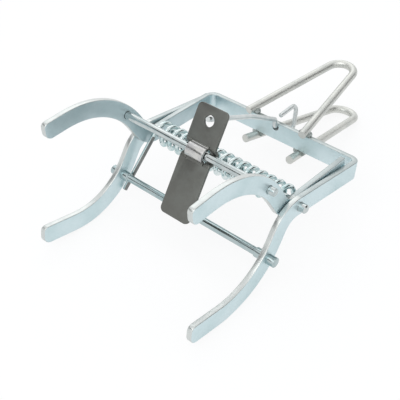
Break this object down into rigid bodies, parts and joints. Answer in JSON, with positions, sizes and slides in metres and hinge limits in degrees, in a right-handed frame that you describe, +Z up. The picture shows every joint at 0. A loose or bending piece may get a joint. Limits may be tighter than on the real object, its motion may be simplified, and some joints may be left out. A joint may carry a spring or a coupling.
{
  "type": "mole trap",
  "caption": "Claw trap for moles: bent flat-bar jaws on an axle, closed by a torsion spring and held open by a hanging trigger plate and a latch wire.",
  "frame": {"origin": "centre of the underside of the trap as it lies at rest, halfway between the claw tips and the ends of the handle loops", "axes": "+Z up, claws point to -Y, handle loops to +Y, +X along the axle; at rest the arms slope down to the rear by about 9 degrees"},
  "size_m": [0.1086, 0.1968, 0.0744],
  "materials": {
    "zinc_bar": "bright zinc plating on cold-drawn flat bar, satin faces and paler sheared edges",
    "zinc_rod": "zinc-plated drawn wire, softly shining",
    "spring_wire": "bright drawn spring wire",
    "trigger_steel": "dark satin plate with fine scuffs, bare metal on the pressed tongue",
    "weld": "small zinc-plated weld beads"
  },
  "bodies": {
    "frame_body": {"frame": "zinc_bar", "axle": "zinc_rod", "lower_rod": "zinc_rod", "torsion_spring": "spring_wire", "upper_handle_loop": "zinc_rod", "lower_handle_loop": "zinc_rod", "upper_loop_welds": "weld", "lower_loop_welds": "weld"},
    "jaws": {"left_upper_claw": "zinc_bar", "right_upper_claw": "zinc_bar", "upper_rod": "zinc_rod"},
    "trigger": {"trigger_plate": "trigger_steel"},
    "latch": {"latch_wire": "zinc_rod"}
  },
  "joints": [
    {"name": "jaw_close", "type": "hinge", "parent": "frame_body", "child": "jaws", "pos_m": [0, -0.02106, 0.03277], "axis": [1, 0, 0], "range_deg": [0, 44], "deforming": ["torsion_spring"]},
    {"name": "trigger_swing", "type": "hinge", "parent": "jaws", "child": "trigger", "pos_m": [0, -0.04061, 0.05359], "axis": [1, 0, 0], "range_deg": [-44, 0]},
    {"name": "latch_swing", "type": "hinge", "parent": "frame_body", "child": "latch", "pos_m": [0, 0.02902, 0.02612], "axis": [1, 0, 0], "range_deg": [0, 17]}
  ],
  "couplings": [
    {"joint": "trigger_swing", "follows": "jaw_close", "ratio": -1},
    {"joint": "latch_swing", "follows": "jaw_close", "ratio": 0.3835}
  ]
}
